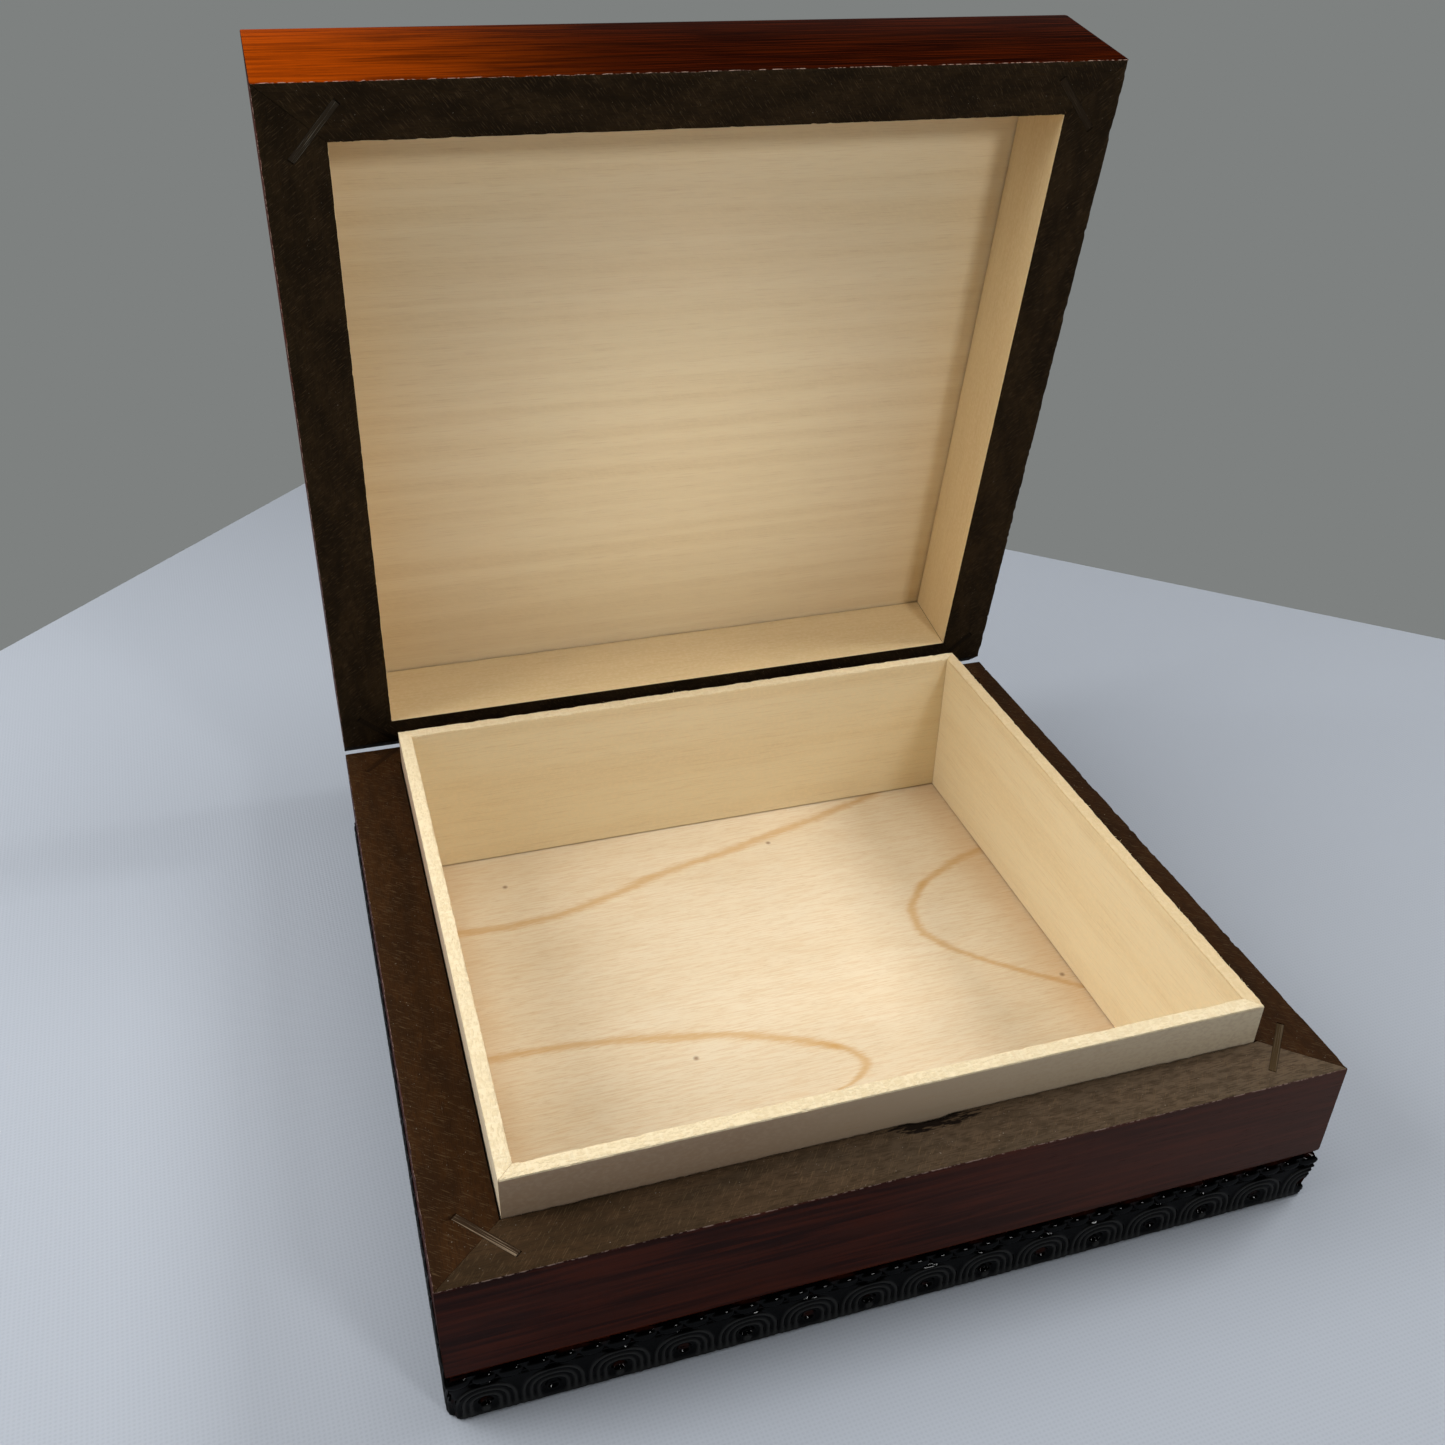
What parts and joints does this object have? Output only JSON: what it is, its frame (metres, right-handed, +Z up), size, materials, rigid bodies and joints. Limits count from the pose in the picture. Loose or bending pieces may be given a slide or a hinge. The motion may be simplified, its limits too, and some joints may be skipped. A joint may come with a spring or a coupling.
{
  "type": "hinged keepsake box",
  "caption": "Shallow wooden keepsake box with a framed hinged lid standing open, a raised pale lining and a carved moulding round its foot.",
  "frame": {"origin": "middle of the base's underside, on the plane that it rests on", "axes": "+X along the width, to the right seen from the front; +Y towards the hinged back; +Z up"},
  "size_m": [0.166, 0.1825, 0.1887],
  "materials": {
    "mahogany_stain": "gloss lacquer over red-brown stain, matt dark brown on the rims",
    "spline_wood": "stained end grain, matt",
    "birch_plywood": "bare, sanded",
    "limewood": "bare, sawn edges",
    "lid_board": "bare inside, stained and lacquered on top",
    "black_lacquer": "gloss black over carving",
    "hinge_brass": "satin, slightly dulled"
  },
  "bodies": {
    "base": {"base_front_wall": "mahogany_stain", "base_back_wall": "mahogany_stain", "base_left_wall": "mahogany_stain", "base_right_wall": "mahogany_stain", "base_spline_front_left": "spline_wood", "base_spline_front_right": "spline_wood", "base_spline_back_left": "spline_wood", "base_spline_back_right": "spline_wood", "floor_panel": "birch_plywood", "liner_front": "limewood", "liner_back": "limewood", "liner_left": "limewood", "liner_right": "limewood", "moulding_front": "black_lacquer", "moulding_back": "black_lacquer", "moulding_left": "black_lacquer", "moulding_right": "black_lacquer", "hinge_left_base_leaf": "hinge_brass", "hinge_left_pin": "hinge_brass", "hinge_right_base_leaf": "hinge_brass", "hinge_right_pin": "hinge_brass", "hinge_left_base_nail_1": "hinge_brass", "hinge_left_base_nail_2": "hinge_brass", "hinge_right_base_nail_1": "hinge_brass", "hinge_right_base_nail_2": "hinge_brass"},
    "lid": {"lid_front_wall": "mahogany_stain", "lid_back_wall": "mahogany_stain", "lid_left_wall": "mahogany_stain", "lid_right_wall": "mahogany_stain", "lid_spline_front_left": "spline_wood", "lid_spline_front_right": "spline_wood", "lid_spline_back_left": "spline_wood", "lid_spline_back_right": "spline_wood", "lid_panel": "lid_board", "hinge_left_lid_leaf": "hinge_brass", "hinge_right_lid_leaf": "hinge_brass", "hinge_left_lid_nail_1": "hinge_brass", "hinge_left_lid_nail_2": "hinge_brass", "hinge_right_lid_nail_1": "hinge_brass", "hinge_right_lid_nail_2": "hinge_brass"}
  },
  "joints": [
    {"name": "lid_hinge", "type": "hinge", "parent": "base", "child": "lid", "pos_m": [0, 0.0743, 0.0336], "axis": [1, 0, 0], "range_deg": [0, 79.6]}
  ]
}
